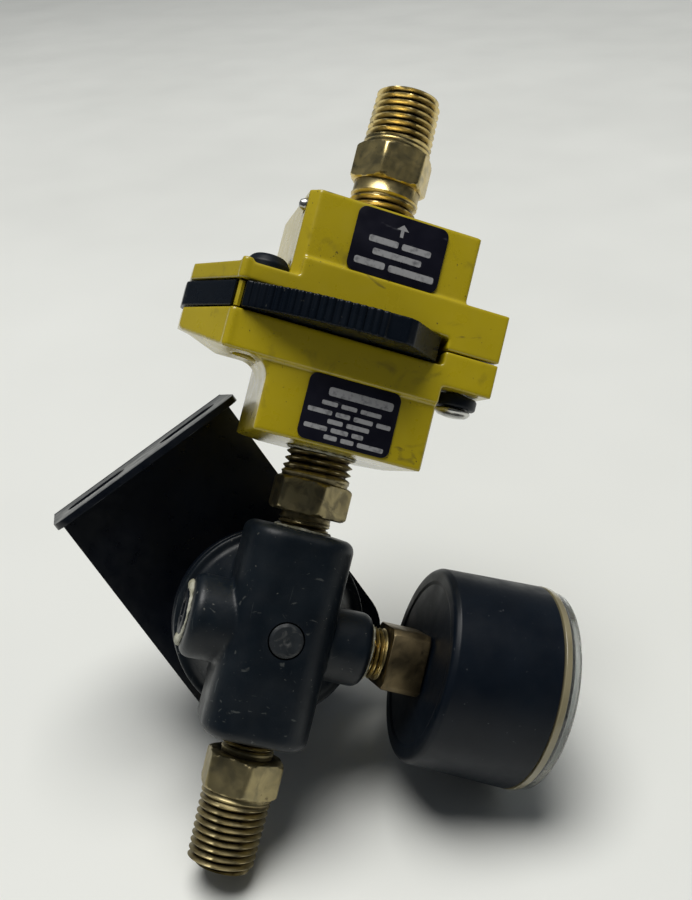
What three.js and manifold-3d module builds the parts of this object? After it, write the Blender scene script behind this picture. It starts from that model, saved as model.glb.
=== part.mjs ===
// Air pressure regulator assembly: a slide shut-off valve, a miniature diaphragm regulator with a
// pressure gauge and a wall bracket, joined by threaded brass nipples.
//
// Millimetres. The pieces are laid out around the regulator's centre, where three axes meet:
//   Z is the flow axis, outlet at the top; Y is the adjusting axis, knob at +Y;
//   X is the gauge axis, dial facing +X.
// The last lines move the whole group so that the stored origin is the centre of the top nipple's end.

import * as THREE from 'three';
import { mergeVertices } from 'three/addons/utils/BufferGeometryUtils.js';
import Module from 'manifold-3d';

const wasm = await Module();
wasm.setup();

// ---------------------------------------------------------------- driving dimensions
const GAP = 0.3;                 // clearance kept between pieces that touch on the real object
const AXIS = { x: 'x', y: 'y', z: 'z' };

// Pipe threads: large-end radius, radius lost per millimetre of length
const QUARTER_NPT = 6.93;
const EIGHTH_NPT = 5.2;
const NPT_TAPER = 1 / 32;
const NIPPLE_HEX = 14.29;        // across flats
const NIPPLE_BORE = 4.3;
const SMALL_BORE = 3.2;

// Levels along the flow axis
const TOP_END = 111;
const VALVE_TOP = 81.9;
const VALVE_RIDGE = 68.9;
const LEFT_WING_TOP = 65.3;
const VALVE_SPLIT = 59.3;
const RIGHT_WING_BOTTOM = 52.9;
const LEFT_FOOT_BOTTOM = 49.4;
const VALVE_BOTTOM = 36.4;
const BOSS_END = 20.5;
const BOTTOM_END = -46;

// Slide valve
const BLOCK = { front: -18.4, frontLeft: -15.2, left: -16.9, right: 16.5, shoulder: -16.2, back: 17 };
const LOWER_BLOCK = { left: -16.6, right: 15.5 };
const WING = { front: -19.3, right: 25.2, corner: -25.4, tip: -33.4, tipHalf: 3, tipBottom: 52.8, back: 17 };
const BEAD = { radius: 1.1, inset: 0.5, top: 66 };
const SLIDE = { low: 56.9, high: 61.7, back: 12, tongue: 20.3, tongueHalf: 8, right: 13.2, tip: -33.9 };
const GRIP = { left: -24.2, rise: 0.7 };
const SLIDE_TRAVEL = 12.6;
const FLOW_HOLE = 4.5;
const SCREW = { x: 20.6, y: -12, radius: 2 };
const PADLOCK_HOLE = { x: -25.3, y: -2, radius: 3.25 };

// Regulator, along Y
const BODY_FRONT = -11.8;
const FLOW_BOSS = { left: -11, right: 9.8, back: 9.5, corner: 6.2, endRound: 1.8 };
const POPPET_CHAMBER = 3.6;
const FLANGE = { radius: 19.6, low: 8.8, high: 12.3 };
const CHAMBER = { radius: 15.5, floor: 9.6 };
const BONNET = { low: 13.6, shoulder: 27.6, neckTop: 36.5, spigotTop: 42, neck: 14.8, cavity: 11.6 };
const KNOB = { low: 37.2, high: 54, radius: 15, skirtTop: 45.4, bore: 11.5, socket: 3.5 };
const GAUGE_BOSS = { end: 18.2, radius: 7.4 };

// Bracket: a plate across the adjusting axis with a flange bent towards the regulator
const BRACKET = {
  turn: 50.8,                    // degrees from +Z towards -X
  plate: 27.9, sheet: 1.4, half: 22, reach: 43.9, end: -24.3, corner: 10, hole: 15.1, flange: 21,
  lean: 4.1,                     // degrees by which the flange's free edge leans to the axis
  slotHalf: 2.8, slotLength: 14, slotFromCentre: 11.5,
};

// Gauge, along X
const GAUGE = { back: 30.1, front: 51.9, backRadius: 19.7, frontRadius: 20.8, wall: 1.5 };
const LENS = { step: 54, front: 55.9, thickness: 1.4 };

// ---------------------------------------------------------------- solids from three.js geometry
// Welds a geometry, drops triangles without area and turns the faces outward.
function solidOf(geometry) {
  const bare = geometry.clone();
  bare.deleteAttribute('normal');
  bare.deleteAttribute('uv');
  const welded = mergeVertices(bare, 1e-4);
  const points = welded.attributes.position.array;
  const corner = (i) => new THREE.Vector3(points[3 * i], points[3 * i + 1], points[3 * i + 2]);
  const kept = [];
  let volume = 0;
  for (let i = 0; i < welded.index.count; i += 3) {
    const [a, b, c] = [0, 1, 2].map((k) => welded.index.array[i + k]);
    if (a === b || b === c || c === a) continue;
    kept.push([a, b, c]);
    volume += corner(a).dot(corner(b).cross(corner(c)));
  }
  const facing = volume < 0 ? kept.map(([a, b, c]) => [a, c, b]) : kept;
  return new wasm.Manifold(new wasm.Mesh({
    numProp: 3, vertProperties: new Float32Array(points), triVerts: new Uint32Array(facing.flat()),
  }));
}

function join(...solids) {
  return solids.reduce((whole, next) => whole.add(next));
}

function cut(solid, ...tools) {
  return tools.reduce((whole, next) => whole.subtract(next), solid);
}

// Turns a geometry made along +Y, or along +Z, onto a named axis.
function alongFromY(geometry, axis) {
  if (axis === AXIS.z) geometry.rotateX(Math.PI / 2);
  if (axis === AXIS.x) geometry.rotateZ(-Math.PI / 2);
  return geometry;
}

// A turned solid: [radius, height] pairs that start and end on the axis, or close into a ring.
function turned(profile, axis = AXIS.z, sides = 24) {
  const points = profile.map(([radius, height]) => new THREE.Vector2(radius, height));
  const closed = profile[0][0] === 0 && profile[profile.length - 1][0] === 0;
  if (!closed) points.push(points[0].clone());
  return solidOf(alongFromY(new THREE.LatheGeometry(points, sides), axis));
}

function rod(radius, low, high, axis = AXIS.z, sides = 16) {
  return turned([[0, low], [radius, low], [radius, high], [0, high]], axis, sides);
}

function tube(inner, outer, low, high, axis = AXIS.z, sides = 24) {
  return turned([[inner, low], [outer, low], [outer, high], [inner, high]], axis, sides);
}

function box(lowCorner, highCorner) {
  const size = highCorner.map((value, i) => value - lowCorner[i]);
  const geometry = new THREE.BoxGeometry(...size);
  geometry.translate(...highCorner.map((value, i) => (value + lowCorner[i]) / 2));
  return solidOf(geometry);
}

function outline(points) {
  return new THREE.Shape(points.map(([a, b]) => new THREE.Vector2(a, b)));
}

// Extrudes an outline drawn in XY along Z, in XZ along Y, or in YZ along X.
function prism(shape, low, high, axis = AXIS.z) {
  const options = { depth: high - low, bevelEnabled: false, curveSegments: 5 };
  const geometry = new THREE.ExtrudeGeometry(shape, options);
  const x = new THREE.Vector3(1, 0, 0);
  const y = new THREE.Vector3(0, 1, 0);
  const z = new THREE.Vector3(0, 0, 1);
  if (axis === AXIS.x) geometry.applyMatrix4(new THREE.Matrix4().makeBasis(y, z, x));
  if (axis === AXIS.y) geometry.applyMatrix4(new THREE.Matrix4().makeBasis(x, z, y.clone().negate()));
  const start = axis === AXIS.y ? high : low;
  geometry.translate(axis === AXIS.x ? start : 0, axis === AXIS.y ? start : 0, axis === AXIS.z ? start : 0);
  return solidOf(geometry);
}

function roundedRectangle(left, bottom, right, top, radius) {
  const shape = new THREE.Shape();
  shape.moveTo(left + radius, bottom);
  shape.lineTo(right - radius, bottom);
  shape.absarc(right - radius, bottom + radius, radius, -Math.PI / 2, 0, false);
  shape.lineTo(right, top - radius);
  shape.absarc(right - radius, top - radius, radius, 0, Math.PI / 2, false);
  shape.lineTo(left + radius, top);
  shape.absarc(left + radius, top - radius, radius, Math.PI / 2, Math.PI, false);
  shape.lineTo(left, bottom + radius);
  shape.absarc(left + radius, bottom + radius, radius, Math.PI, 1.5 * Math.PI, false);
  return shape;
}

// A round bar bent along a curve, with flat ends.
function bentBar(curve, radius, steps, sides = 8) {
  const section = new THREE.Shape();
  section.absarc(0, 0, radius, 0, 2 * Math.PI, false);
  const options = { steps, bevelEnabled: false, extrudePath: curve, curveSegments: sides };
  return solidOf(new THREE.ExtrudeGeometry(section, options));
}

// A coil about the Y axis between two levels, a wire's radius inside each end.
class Coil extends THREE.Curve {
  constructor(radius, low, high, turns) {
    super();
    Object.assign(this, { radius, low, high, turns });
  }

  getPoint(t, target = new THREE.Vector3()) {
    const angle = 2 * Math.PI * this.turns * t;
    const height = this.low + (this.high - this.low) * t;
    return target.set(this.radius * Math.cos(angle), height, this.radius * Math.sin(angle));
  }
}

function spring(radius, wire, low, high, turns) {
  const curve = new Coil(radius, low + wire, high - wire, turns);
  return bentBar(curve, wire, Math.round(turns * 14), 3);
}

// ---------------------------------------------------------------- the assembly
const regulator = new THREE.Group();

const FINISH = {
  yellowPaint: { color: 0xb5a52a, roughness: 0.4, metalness: 0 },
  blackPlastic: { color: 0x16181c, roughness: 0.5, metalness: 0 },
  blackZinc: { color: 0x1b1e24, roughness: 0.45, metalness: 0.2 },
  blackSteel: { color: 0x121317, roughness: 0.5, metalness: 0.4 },
  brass: { color: 0x9c8a54, roughness: 0.35, metalness: 1 },
  steel: { color: 0xb4b6b8, roughness: 0.3, metalness: 1 },
  rubber: { color: 0x202020, roughness: 0.8, metalness: 0 },
  label: { color: 0x0c0d12, roughness: 0.5, metalness: 0 },
  dialWhite: { color: 0xf2f2ee, roughness: 0.6, metalness: 0 },
  pointerBlack: { color: 0x101010, roughness: 0.6, metalness: 0 },
  clear: { color: 0xdfe6ea, roughness: 0.1, metalness: 0 },
};

function place(name, solid, finish) {
  const { vertProperties, triVerts } = solid.getMesh();
  const geometry = new THREE.BufferGeometry();
  geometry.setAttribute('position', new THREE.BufferAttribute(vertProperties, 3));
  geometry.setIndex(new THREE.BufferAttribute(triVerts, 1));
  geometry.computeVertexNormals();
  const mesh = new THREE.Mesh(geometry, new THREE.MeshStandardMaterial(finish));
  mesh.name = name;
  regulator.add(mesh);
}

// ---------------------------------------------------------------- brass nipples
// A hexagonal collar with chamfered corners; turn swings one corner from -Y towards +X.
function hexCollar(low, high, turn) {
  const corner = NIPPLE_HEX / Math.sqrt(3);
  const bar = new THREE.CylinderGeometry(corner, corner, high - low, 6);
  bar.rotateX(Math.PI / 2).rotateZ(THREE.MathUtils.degToRad(turn)).translate(0, 0, (low + high) / 2);
  const chamfer = turned([
    [0, low], [corner - 1.2, low], [corner, low + 0.8],
    [corner, high - 0.8], [corner - 1.2, high], [0, high],
  ]);
  return solidOf(bar).intersect(chamfer);
}

// The thread starts at its large end and tapers to a chamfered mouth.
function threadStub(largeRadius, start, end) {
  const direction = Math.sign(end - start);
  const smallRadius = largeRadius - Math.abs(end - start) * NPT_TAPER;
  const profile = [
    [0, start], [largeRadius, start], [smallRadius, end - 0.8 * direction],
    [smallRadius - 0.7, end], [0, end],
  ];
  return turned(direction > 0 ? profile : profile.reverse());
}

function nipple({ upperRadius, upperEnd, hexHigh, hexLow, lowerRadius, lowerEnd, turn, bores }) {
  const neckUp = rod(upperRadius - 0.45, hexHigh - 0.5, hexHigh + 1.6);
  const neckDown = rod(lowerRadius - 0.45, hexLow - 1.6, hexLow + 0.5);
  const whole = join(
    hexCollar(hexLow, hexHigh, turn), neckUp, neckDown,
    threadStub(upperRadius, hexHigh + 1.5, upperEnd), threadStub(lowerRadius, hexLow - 1.5, lowerEnd),
  );
  return cut(whole, ...bores);
}

place('outlet_nipple', nipple({
  upperRadius: QUARTER_NPT, upperEnd: TOP_END, hexHigh: 98, hexLow: 90.4,
  lowerRadius: QUARTER_NPT, lowerEnd: 74.5, turn: -26,
  bores: [rod(NIPPLE_BORE, 70, TOP_END + 1)],
}), FINISH.brass);

place('middle_nipple', nipple({
  upperRadius: QUARTER_NPT, upperEnd: 43.8, hexHigh: 30.6, hexLow: 23.5,
  lowerRadius: EIGHTH_NPT, lowerEnd: 13, turn: 5,
  bores: [rod(SMALL_BORE, 12, 32), rod(NIPPLE_BORE, 28, 46)],
}), FINISH.brass);

place('inlet_nipple', nipple({
  upperRadius: EIGHTH_NPT, upperEnd: -13, hexHigh: -24, hexLow: -31,
  lowerRadius: QUARTER_NPT, lowerEnd: BOTTOM_END, turn: 0,
  bores: [rod(SMALL_BORE, -32, -12), rod(NIPPLE_BORE, BOTTOM_END - 1, -30)],
}), FINISH.brass);

// ---------------------------------------------------------------- slide valve
// The upper block's front left corner is cut off to carry the pin.
const upperOutline = outline([
  [BLOCK.frontLeft, BLOCK.front], [BLOCK.right, BLOCK.front], [BLOCK.right, 13], [12, BLOCK.back],
  [-12, BLOCK.back], [BLOCK.left, 13], [BLOCK.left, BLOCK.shoulder],
]);

const lowerOutline = outline([
  [LOWER_BLOCK.left, BLOCK.front], [LOWER_BLOCK.right, BLOCK.front], [LOWER_BLOCK.right, 8], [11, BLOCK.back],
  [-11, BLOCK.back], [LOWER_BLOCK.left, 8],
]);

const wingOutline = outline([
  [WING.corner, WING.front], [WING.right, WING.front], [WING.right, 9], [19, WING.back],
  [-20, WING.back], [WING.corner, 15], [WING.tip, WING.tipHalf], [WING.tip, -WING.tipHalf],
]);

// A thin upright bead on the corner where the left wing's front turns back to its tip.
function cornerBead(low, high) {
  const bead = rod(BEAD.radius, low, high, AXIS.z, 12);
  return bead.translate([WING.corner + BEAD.inset, WING.front + BEAD.radius - 0.2, 0]);
}

// Everything left of the block's front edge, for the lower level of the left wing.
function leftOf(x, low, high) {
  return box([-60, -40, low], [x, 40, high]);
}

// The guide channel for the slide: open at the left and at the front, blind at the right.
const slideChannel = join(
  box([-60, -60, SLIDE.low - GAP], [14.6, SLIDE.back + GAP, SLIDE.high + GAP]),
  box([10, -SLIDE.tongueHalf - GAP, SLIDE.low - GAP],
    [SLIDE.tongue + GAP, SLIDE.tongueHalf + GAP, SLIDE.high + GAP]),
);

function sealGroove(low, high) {
  return rod(7.5, low, high);
}

function screwHole(side, low, high, radius = SCREW.radius + GAP) {
  return rod(radius, low, high).translate([side * SCREW.x, SCREW.y, 0]);
}

const pinHole = solidOf(new THREE.CylinderGeometry(1.5, 1.5, 8, 16)
  .rotateZ(Math.PI / 2).translate(-16.4, -14.6, 79.2));

place('valve_upper_body', cut(
  join(
    prism(upperOutline, VALVE_SPLIT + GAP, VALVE_TOP),
    cut(prism(wingOutline, VALVE_SPLIT + GAP, VALVE_RIDGE), leftOf(BLOCK.frontLeft, LEFT_WING_TOP, 90)),
    cornerBead(VALVE_SPLIT + GAP, BEAD.top),
  ),
  slideChannel, sealGroove(SLIDE.high, 63.5), rod(FLOW_HOLE, 50, 75), rod(QUARTER_NPT + GAP, 72, 90),
  screwHole(-1, 50, 90), screwHole(-1, LEFT_WING_TOP, VALVE_RIDGE, 4.5), screwHole(1, 50, 66), pinHole,
), FINISH.yellowPaint);

// The left wing is deep at the bead and its underside rises towards the tip.
const FOOT_BACK = -3;
const leftFoot = cut(
  prism(wingOutline, LEFT_FOOT_BOTTOM, 56).intersect(box([-60, -60, 40], [-12, FOOT_BACK, 60])),
  prism(outline([
    [WING.corner, LEFT_FOOT_BOTTOM], [WING.tip - 1, WING.tipBottom], [WING.tip - 1, 40], [WING.corner, 40],
  ]), -60, 60, AXIS.y),
);

// A hollow fillet between the foot's underside and the block's side.
const FOOT_FILLET = 4;
function footFillet() {
  const shape = new THREE.Shape();
  const side = LOWER_BLOCK.left;
  shape.moveTo(side + 1, LEFT_FOOT_BOTTOM + 1);
  shape.lineTo(side + 1, LEFT_FOOT_BOTTOM - FOOT_FILLET);
  shape.lineTo(side, LEFT_FOOT_BOTTOM - FOOT_FILLET);
  shape.absarc(side - FOOT_FILLET, LEFT_FOOT_BOTTOM - FOOT_FILLET, FOOT_FILLET, 0, Math.PI / 2, false);
  shape.lineTo(side - FOOT_FILLET, LEFT_FOOT_BOTTOM + 1);
  return prism(shape, BLOCK.front, FOOT_BACK, AXIS.y);
}

place('valve_lower_body', cut(
  join(
    prism(lowerOutline, VALVE_BOTTOM, VALVE_SPLIT),
    prism(wingOutline, RIGHT_WING_BOTTOM, VALVE_SPLIT),
    box([WING.corner + 3, WING.front, LEFT_FOOT_BOTTOM], [LOWER_BLOCK.right, -10, 56]),
    leftFoot, footFillet(), cornerBead(LEFT_FOOT_BOTTOM, VALVE_SPLIT),
  ),
  slideChannel, sealGroove(55.1, SLIDE.low), rod(FLOW_HOLE, 40, 70), rod(QUARTER_NPT + GAP, 30, 46),
  screwHole(-1, 40, 70), screwHole(1, 40, 70), screwHole(1, 48, RIGHT_WING_BOTTOM, 4.6),
), FINISH.yellowPaint);

place('upper_seal', tube(5.4, 7.2, SLIDE.high + 0.1, 63.2), FINISH.rubber);
place('lower_seal', tube(5.4, 7.2, 55.4, SLIDE.low - 0.1), FINISH.rubber);

// The grip stands proud of the front face, swells to a crest right of the centre, then falls back.
const gripCurve = new THREE.SplineCurve([
  [GRIP.left, WING.front - GRIP.rise], [-15.4, -24.8], [-7, -27.2], [-0.6, -28.2], [4.6, -28.3],
].map(([x, y]) => new THREE.Vector2(x, y)));

const RIBS = 19;
const RIB_DEPTH = 0.5;
const RIBBED_SHARE = 0.88;

// Walks the grip's curve and steps in and out once for each rib.
function ribbedGrip() {
  const points = [];
  for (let rib = 0; rib < RIBS; rib += 1) {
    for (const [part, depth] of [[0.05, RIB_DEPTH], [0.3, 0], [0.75, 0], [0.95, RIB_DEPTH]]) {
      const at = ((rib + part) / RIBS) * RIBBED_SHARE;
      const point = gripCurve.getPointAt(at);
      const across = gripCurve.getTangentAt(at);
      points.push([point.x - across.y * depth, point.y + across.x * depth]);
    }
  }
  return points;
}

// A notch in line with the beads sets the grip off from the tip; the first rib is a whole one.
const slideOutline = outline([
  [SLIDE.tip, -2.2], [SLIDE.tip + 0.5, -3.4], [-25.9, -18], [-25.3, -16.6], [GRIP.left, -16.9],
  [GRIP.left, WING.front - GRIP.rise], ...ribbedGrip().slice(1), [4.6, -28.3],
  [6.2, -27.5], [SLIDE.right, WING.front + 0.2], [SLIDE.right, -SLIDE.tongueHalf],
  [SLIDE.tongue, -SLIDE.tongueHalf], [SLIDE.tongue, SLIDE.tongueHalf], [SLIDE.right, SLIDE.tongueHalf],
  [SLIDE.right, SLIDE.back], [-26.8, SLIDE.back], [SLIDE.tip + 0.5, WING.tipHalf], [SLIDE.tip, 2],
]);

// The left screw runs in this slot and stops the slide at both ends of its travel.
const screwSlot = prism(roundedRectangle(
  -SCREW.x - 2.4, SCREW.y - 2.4, -SCREW.x + SLIDE_TRAVEL + 2.4, SCREW.y + 2.4, 2.39,
), 50, 70);

const padlockHole = solidOf(new THREE.CylinderGeometry(PADLOCK_HOLE.radius, PADLOCK_HOLE.radius, 20, 24)
  .rotateX(Math.PI / 2).translate(PADLOCK_HOLE.x, PADLOCK_HOLE.y, VALVE_SPLIT));

place('valve_slide', cut(
  prism(slideOutline, SLIDE.low, SLIDE.high), rod(FLOW_HOLE, 50, 70), screwSlot, padlockHole,
), FINISH.blackPlastic);

// A screw parallel to Z with a domed head; direction is the side of the body that the head is on.
function clampScrew(side, headBase, headRadius, headHeight, shankEnd, direction) {
  const crown = headBase + direction * headHeight;
  const profile = [
    [0, shankEnd], [SCREW.radius, shankEnd], [SCREW.radius, headBase], [headRadius, headBase],
    [headRadius, headBase + 0.45 * (crown - headBase)],
    [0.8 * headRadius, headBase + 0.8 * (crown - headBase)],
    [0.4 * headRadius, crown], [0, crown],
  ];
  return turned(profile, AXIS.z, 20).translate([side * SCREW.x, SCREW.y, 0]);
}

const leftScrew = clampScrew(-1, LEFT_WING_TOP + GAP, 4.2, 3, LEFT_FOOT_BOTTOM + 2, 1);
const rightScrew = clampScrew(1, RIGHT_WING_BOTTOM - 2.9, 3.5, 1.5, 64, -1);
const collar = tube(
  SCREW.radius + GAP, 4.3, RIGHT_WING_BOTTOM - 2.6, RIGHT_WING_BOTTOM - GAP, AXIS.z, 20,
);
place('left_clamp_screw', leftScrew, FINISH.blackSteel);
place('right_clamp_screw', rightScrew, FINISH.steel);
place('right_screw_collar', collar.translate([SCREW.x, SCREW.y, 0]), FINISH.blackPlastic);

place('label_pin', turned([[0, -18.2], [0.8, -18], [1.2, -17.2], [1, -13], [0, -13]], AXIS.x, 16)
  .translate([0, -14.6, 79.2]), FINISH.steel);

function label(left, bottom, right, top) {
  return prism(roundedRectangle(left, bottom, right, top, 1.6), BLOCK.front - 0.4, BLOCK.front - 0.1, AXIS.y);
}

place('upper_label', label(-7.6, 69, 10.1, 81.3), FINISH.label);
place('lower_label', label(-8.9, 37, 8.7, 49.3), FINISH.label);

// ---------------------------------------------------------------- regulator body
function flowBoss() {
  const round = FLOW_BOSS.endRound;
  const geometry = new THREE.ExtrudeGeometry(
    roundedRectangle(FLOW_BOSS.left, BODY_FRONT, FLOW_BOSS.right, FLOW_BOSS.back, FLOW_BOSS.corner),
    {
      depth: 2 * (BOSS_END - round), curveSegments: 5,
      bevelEnabled: true, bevelThickness: round, bevelSize: round, bevelOffset: -round, bevelSegments: 2,
    },
  );
  geometry.translate(0, 0, round - BOSS_END);
  return solidOf(geometry);
}

const gaugeBoss = turned([
  [0, -GAUGE_BOSS.end], [GAUGE_BOSS.radius - 1.4, -GAUGE_BOSS.end], [GAUGE_BOSS.radius, 1.4 - GAUGE_BOSS.end],
  [GAUGE_BOSS.radius, GAUGE_BOSS.end - 1.4], [GAUGE_BOSS.radius - 1.4, GAUGE_BOSS.end], [0, GAUGE_BOSS.end],
], AXIS.x, 28);
const bodyDish = turned([
  [0, -4], [11.5, -4], [13.5, 2], [FLANGE.radius - 2, FLANGE.low],
  [FLANGE.radius, FLANGE.low], [FLANGE.radius, FLANGE.high], [0, FLANGE.high],
], AXIS.y, 36);

// The ports: thread bores at the boss ends, then passages. The inlet below leads to the poppet
// chamber; the outlet above and both gauge ports lead to the diaphragm chamber.
const portBores = [
  rod(EIGHTH_NPT + 0.2, 12, 30), rod(EIGHTH_NPT + 0.2, -30, -12),
  rod(EIGHTH_NPT + 0.2, 11, 30, AXIS.x), rod(EIGHTH_NPT + 0.2, -30, -11, AXIS.x),
  box([-2, -2, -13], [2, 2, -2.5]), box([-2, 3, 8], [2, 10, 13]),
  box([-12.5, 3, -1.6], [-9.4, 10, 1.6]), box([9.4, 3, -1.6], [12.5, 10, 1.6]),
];

place('regulator_body', cut(
  join(bodyDish, flowBoss(), gaugeBoss),
  rod(CHAMBER.radius, CHAMBER.floor, 20, AXIS.y, 32), rod(2.2, 0, 20, AXIS.y),
  rod(POPPET_CHAMBER, -20, 4, AXIS.y, 24),
  ...portBores,
), FINISH.blackZinc);

place('bottom_plug', turned([
  [0, BODY_FRONT - 0.1], [POPPET_CHAMBER - 0.6, BODY_FRONT - 0.1], [POPPET_CHAMBER - GAP, BODY_FRONT + 0.2],
  [POPPET_CHAMBER - GAP, -8], [1.9, -8], [1.9, -10.5], [0, -10.5],
], AXIS.y, 24), FINISH.blackZinc);

place('poppet', turned([
  [0, -7.2], [1.5, -7.2], [1.5, -2], [3.1, -1.4], [3.1, 1.6], [2.6, 3.6], [1.2, 3.7], [1.2, 11.3], [0, 11.3],
], AXIS.y, 24), FINISH.brass);

place('poppet_spring', spring(2.15, 0.35, -7.6, -2.2, 4.5), FINISH.steel);

place('port_plug', cut(
  turned([
    [0, -19], [4.4, -19], [EIGHTH_NPT - 0.1, -18.2], [EIGHTH_NPT - 0.35, -11.6], [0, -11.6],
  ], AXIS.x, 28),
  solidOf(new THREE.CylinderGeometry(2.7, 2.7, 5, 6).rotateZ(Math.PI / 2).translate(-18, 0, 0)),
), FINISH.blackSteel);

// ---------------------------------------------------------------- diaphragm, spring and bonnet
place('diaphragm', tube(2.1, 18, FLANGE.high + GAP, BONNET.low - GAP, AXIS.y), FINISH.rubber);

place('diaphragm_plate', turned([
  [0, 11.6], [1.7, 11.6], [1.7, BONNET.low - 0.1], [10.5, BONNET.low - 0.1], [10.5, 15], [6.5, 15],
  [6.5, 16.4], [0, 16.4],
], AXIS.y, 28), FINISH.brass);

place('range_spring', spring(8.6, 1.1, 15.2, 29.4, 3.2), FINISH.steel);

place('spring_seat', cut(
  turned([[2.6, 26.8], [6.2, 26.8], [6.2, 29.6], [11, 29.6], [11, 31.6], [2.6, 31.6]], AXIS.y, 28),
  box([9.5, 25, -1.5], [14, 35, 1.5]),
), FINISH.brass);

place('adjusting_screw', join(
  rod(2.3, 17.4, 35.2, AXIS.y),
  rod(6, 31.9, 34.2, AXIS.y),
  rod(3, 34, 43.2, AXIS.y),
  box([-3.1, 42.4, -3.1], [3.1, 49.5, 3.1]),
), FINISH.steel);

place('bonnet', join(
  turned([
    [16.2, BONNET.low], [FLANGE.radius, BONNET.low], [FLANGE.radius, 16.8], [18.6, 17.4],
    [17.8, 26.6], [16.8, BONNET.shoulder], [BONNET.neck, BONNET.shoulder], [BONNET.neck, BONNET.neckTop],
    [11, BONNET.neckTop], [11, BONNET.spigotTop - 0.6], [10.4, BONNET.spigotTop], [3.4, BONNET.spigotTop],
    [3.4, 34.6], [BONNET.cavity, 34.6], [BONNET.cavity, 17.6], [16.2, 15.4],
  ], AXIS.y, 36),
  box([9.9, 20, -1.2], [12.5, 34.8, 1.2]),
), FINISH.blackPlastic);

// Shallow flutes around the knob's rim.
const KNOB_FLUTES = 18;
function fluteCutters() {
  const cutters = [];
  for (let i = 0; i < KNOB_FLUTES; i += 1) {
    const angle = (2 * Math.PI * i) / KNOB_FLUTES;
    const groove = new THREE.CylinderGeometry(1.1, 1.1, 12, 5);
    groove.translate((KNOB.radius + 0.35) * Math.cos(angle), 45, (KNOB.radius + 0.35) * Math.sin(angle));
    cutters.push(solidOf(groove));
  }
  return cutters;
}

place('knob', cut(
  turned([
    [0, KNOB.high], [KNOB.radius - 2, KNOB.high], [KNOB.radius - 0.6, KNOB.high - 0.5],
    [KNOB.radius, KNOB.high - 1.9], [KNOB.radius, KNOB.low], [KNOB.bore, KNOB.low],
    [KNOB.bore, KNOB.skirtTop], [0, KNOB.skirtTop],
  ], AXIS.y, 40),
  box([-KNOB.socket, 44, -KNOB.socket], [KNOB.socket, 52, KNOB.socket]),
  ...fluteCutters(),
), FINISH.blackPlastic);

// The ring nut that clamps the bracket to the bonnet's neck.
const NUT_NOTCHES = 12;
function notchCutters() {
  const cutters = [];
  for (let i = 0; i < NUT_NOTCHES; i += 1) {
    const notch = new THREE.BoxGeometry(2.4, 8, 3);
    notch.translate(19.6, 32, 0).rotateY((2 * Math.PI * i) / NUT_NOTCHES);
    cutters.push(solidOf(notch));
  }
  return cutters;
}

place('panel_nut', cut(
  tube(BONNET.neck + 0.45, 19, BRACKET.plate + BRACKET.sheet + GAP, 34, AXIS.y), ...notchCutters(),
), FINISH.blackPlastic);

// ---------------------------------------------------------------- wall bracket
// Drawn upright, with the flange at the top, then turned about the adjusting axis.
function bracketSolid() {
  const { plate, sheet, half, reach, end, corner, flange, lean } = BRACKET;
  const { slotHalf, slotLength, slotFromCentre } = BRACKET;
  const plateShape = new THREE.Shape();
  plateShape.moveTo(-half, reach);
  plateShape.lineTo(-half, end + corner);
  plateShape.absarc(-half + corner, end + corner, corner, Math.PI, 1.5 * Math.PI, false);
  plateShape.lineTo(half - corner, end);
  plateShape.absarc(half - corner, end + corner, corner, -Math.PI / 2, 0, false);
  plateShape.lineTo(half, reach);
  const plateSolid = prism(plateShape, plate, plate + sheet, AXIS.y);
  const flangeShape = roundedRectangle(-half, plate - flange, half, plate + sheet + 4, 3);
  const flangeSolid = prism(flangeShape, reach - sheet, reach)
    .intersect(box([-half, 0, 0], [half, plate + sheet, 60]));
  const aboutBend = (solid, angle) => solid
    .translate([0, -plate - sheet, -reach]).rotate([angle, 0, 0]).translate([0, plate + sheet, reach]);
  const slots = [-1, 1].map((side) => {
    const middle = side * slotFromCentre;
    const height = plate - flange / 2;
    return prism(roundedRectangle(
      middle - slotLength / 2, height - slotHalf, middle + slotLength / 2, height + slotHalf, slotHalf - 0.01,
    ), 30, 60);
  });
  const leaning = aboutBend(cut(flangeSolid, ...slots), lean);
  const whole = cut(join(plateSolid, leaning), rod(BRACKET.hole, 20, 40, AXIS.y, 40));
  return whole.rotate([0, -BRACKET.turn, 0]);
}

place('bracket', bracketSolid(), FINISH.blackSteel);

// ---------------------------------------------------------------- gauge
const { back, front, backRadius, frontRadius, wall } = GAUGE;

place('gauge_stem', cut(
  join(
    turned([[0, 12], [4.4, 12], [4.95, 12.8], [EIGHTH_NPT, 21.6], [4.4, 22], [0, 22]], AXIS.x, 28),
    box([21.8, -6.1, -6.1], [29.6, 6.1, 6.1]).intersect(rod(7.7, 21, 30, AXIS.x)),
    rod(3.6, 29, 34, AXIS.x),
    box([33.5, -2.5, -15], [36.5, 2.5, 4]),
    box([36, -2.5, -15], [40.3, 2.5, -10.5]),
  ),
  rod(1.3, 10, 35, AXIS.x),
), FINISH.brass);

place('gauge_case', turned([
  [4, back], [15.5, back], [17.2, back - 0.5], [18.9, back - 0.2], [backRadius, back + 1.2],
  [frontRadius, front], [frontRadius - wall, front], [backRadius - wall, back + 2.2], [4, back + 2.2],
], AXIS.x, 36), FINISH.blackPlastic);

place('gauge_dial', tube(1.3, 18.6, 47.4, 48, AXIS.x, 32), FINISH.dialWhite);

// The pressure tube is a three-quarter hoop around the gauge axis.
class Hoop extends THREE.Curve {
  constructor(radius, plane, start, sweep) {
    super();
    Object.assign(this, { radius, plane, start, sweep });
  }

  getPoint(t, target = new THREE.Vector3()) {
    const angle = this.start + this.sweep * t;
    return target.set(this.plane, this.radius * Math.cos(angle), this.radius * Math.sin(angle));
  }
}

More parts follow.
